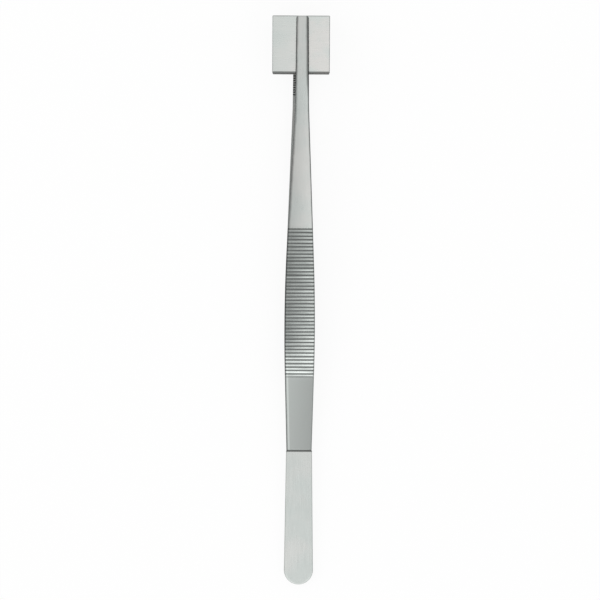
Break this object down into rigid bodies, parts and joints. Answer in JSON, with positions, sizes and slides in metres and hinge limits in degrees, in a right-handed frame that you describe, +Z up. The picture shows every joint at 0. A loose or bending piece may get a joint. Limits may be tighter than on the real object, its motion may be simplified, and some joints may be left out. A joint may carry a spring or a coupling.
{
  "type": "bead masher tweezers",
  "caption": "Long stainless-steel tweezers with a ribbed finger grip and a square pressing plate inside each tip, for flattening hot glass beads.",
  "frame": {"origin": "centre of the tool's outline seen from above, on the surface it lies on", "axes": "+Y along the tool from its welded head to its plates, +Z up, +X to the right seen from above"},
  "size_m": [0.0254, 0.254, 0.0255],
  "materials": {
    "head_steel": "bright, finely ground",
    "arm_steel": "satin, ground along its length",
    "plate_steel": "smooth satin sheet"
  },
  "bodies": {
    "head": {"head": "head_steel"},
    "upper_arm": {"upper_arm": "arm_steel", "upper_plate": "plate_steel"},
    "lower_arm": {"lower_arm": "arm_steel", "lower_plate": "plate_steel"}
  },
  "joints": [
    {"name": "upper_squeeze", "type": "hinge", "parent": "head", "child": "upper_arm", "pos_m": [0, -0.0665, 0.00477], "axis": [-1, 0, 0], "range_deg": [0, 2.32], "stiffness_Nm_per_rad": 12},
    {"name": "lower_squeeze", "type": "hinge", "parent": "head", "child": "lower_arm", "pos_m": [0, -0.0665, 0.00477], "axis": [1, 0, 0], "range_deg": [0, 2.32], "stiffness_Nm_per_rad": 12}
  ]
}
